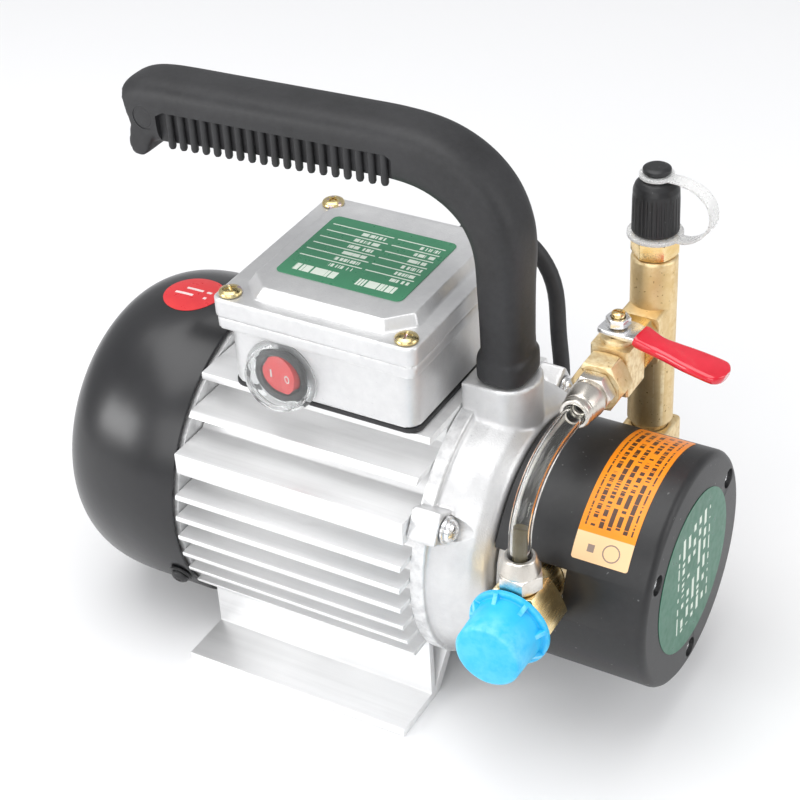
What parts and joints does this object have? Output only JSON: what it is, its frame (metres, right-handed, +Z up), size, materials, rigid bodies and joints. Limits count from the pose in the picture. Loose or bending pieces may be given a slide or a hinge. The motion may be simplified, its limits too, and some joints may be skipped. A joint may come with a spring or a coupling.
{
  "type": "electric oil charging pump",
  "caption": "Portable motor pump on an aluminium foot, with finned motor, side inlet with sight tube, lever ball valve and upright brass outlet.",
  "frame": {"origin": "middle of the pump's bounding box at floor level, without its cord", "axes": "+X along the motor shaft toward the pump head, -Y the switch and inlet side, +Z up"},
  "size_m": [0.2538, 0.2762, 0.2259],
  "materials": {
    "black_paint": "gloss black enamel on pressed steel",
    "black_plastic": "moulded, fine texture",
    "black_rubber": "moulded, satin",
    "blue_plastic": "soft polyethylene",
    "brass": "machined and blasted",
    "cast_aluminium": "sand-cast, blasted",
    "clear_plastic": "clear soft plastic",
    "copper": "enamelled wire",
    "extruded_aluminium": "extruded, mill finish",
    "milky_plastic": "translucent polyethylene",
    "nickel": "nickel-plated brass",
    "red_plastic": "moulded, gloss",
    "red_vinyl": "dipped vinyl, glossy",
    "steel": "machined",
    "white_plastic": "moulded",
    "yellow_zinc": "yellow zinc plate",
    "zinc": "bright zinc plate"
  },
  "bodies": {
    "pump": {"bearing_front": "steel", "bearing_rear": "steel", "box_gasket": "black_rubber", "box_lid": "cast_aluminium", "cable_gland": "black_plastic", "cord_coil": "black_rubber", "cord_tail": "black_rubber", "cover_screw_1": "zinc", "cover_screw_2": "zinc", "cover_screw_3": "zinc", "cowl_screw_1": "black_paint", "cowl_screw_2": "black_paint", "cowl_screw_3": "black_paint", "discharge_pillar": "brass", "fan_cowl": "black_paint", "front_bell": "cast_aluminium", "handle_grip": "black_rubber", "inlet_body": "brass", "junction_box": "cast_aluminium", "lid_screw_1": "yellow_zinc", "lid_screw_2": "yellow_zinc", "lid_screw_3": "yellow_zinc", "lid_screw_4": "yellow_zinc", "lower_fitting": "nickel", "mains_plug": "black_plastic", "motor_frame": "extruded_aluminium", "outlet_elbow": "brass", "outlet_nipple": "brass", "power_cord": "black_rubber", "pump_body": "cast_aluminium", "pump_cover": "black_plastic", "pump_end_plate": "cast_aluminium", "rear_bell": "cast_aluminium", "run_capacitor": "white_plastic", "shaft_seal": "black_rubber", "sight_tube": "clear_plastic", "stator_core": "steel", "switch_body": "black_plastic", "switch_boot": "clear_plastic", "tie_screw_1": "zinc", "tie_screw_2": "zinc", "tie_screw_3": "zinc", "upper_fitting": "nickel", "valve_adapter": "brass", "valve_body": "brass", "winding_front": "copper", "winding_rear": "copper"},
    "rotor": {"rotor_core": "steel", "motor_shaft": "steel", "cooling_fan": "black_plastic", "drive_gear": "steel"},
    "idler": {"idler_gear": "steel"},
    "rocker": {"switch_rocker": "red_plastic"},
    "inlet_cap": {"inlet_cap": "blue_plastic"},
    "outlet_cap": {"outlet_cap": "black_plastic", "cap_strap": "milky_plastic"},
    "valve_handle": {"valve_ball": "zinc", "stem_nut": "zinc", "valve_lever": "zinc", "lever_sleeve": "red_vinyl"}
  },
  "joints": [
    {"name": "shaft_spin", "type": "hinge", "parent": "pump", "child": "rotor", "pos_m": [0.00854, 0.00885, 0.0642], "axis": [1, 0, 0], "continuous": true},
    {"name": "idler_spin", "type": "hinge", "parent": "pump", "child": "idler", "pos_m": [0.00854, 0.00885, 0.0862], "axis": [1, 0, 0], "continuous": true},
    {"name": "rocker_tilt", "type": "hinge", "parent": "pump", "child": "rocker", "pos_m": [-0.02306, -0.02935, 0.1324], "axis": [0, 0, 1], "range_deg": [0, 18]},
    {"name": "valve_turn", "type": "hinge", "parent": "pump", "child": "valve_handle", "pos_m": [0.08274, 0.03085, 0.1312], "axis": [0, 0, 1], "range_deg": [-90, 0]},
    {"name": "inlet_cap_pull", "type": "slide", "parent": "pump", "child": "inlet_cap", "axis": [0, -1, 0], "range_m": [0, 0.03]},
    {"name": "outlet_cap_lift", "type": "slide", "parent": "pump", "child": "outlet_cap", "axis": [0, 0, 1], "range_m": [0, 0.018]}
  ],
  "couplings": [
    {"joint": "idler_spin", "follows": "shaft_spin", "ratio": -1}
  ]
}
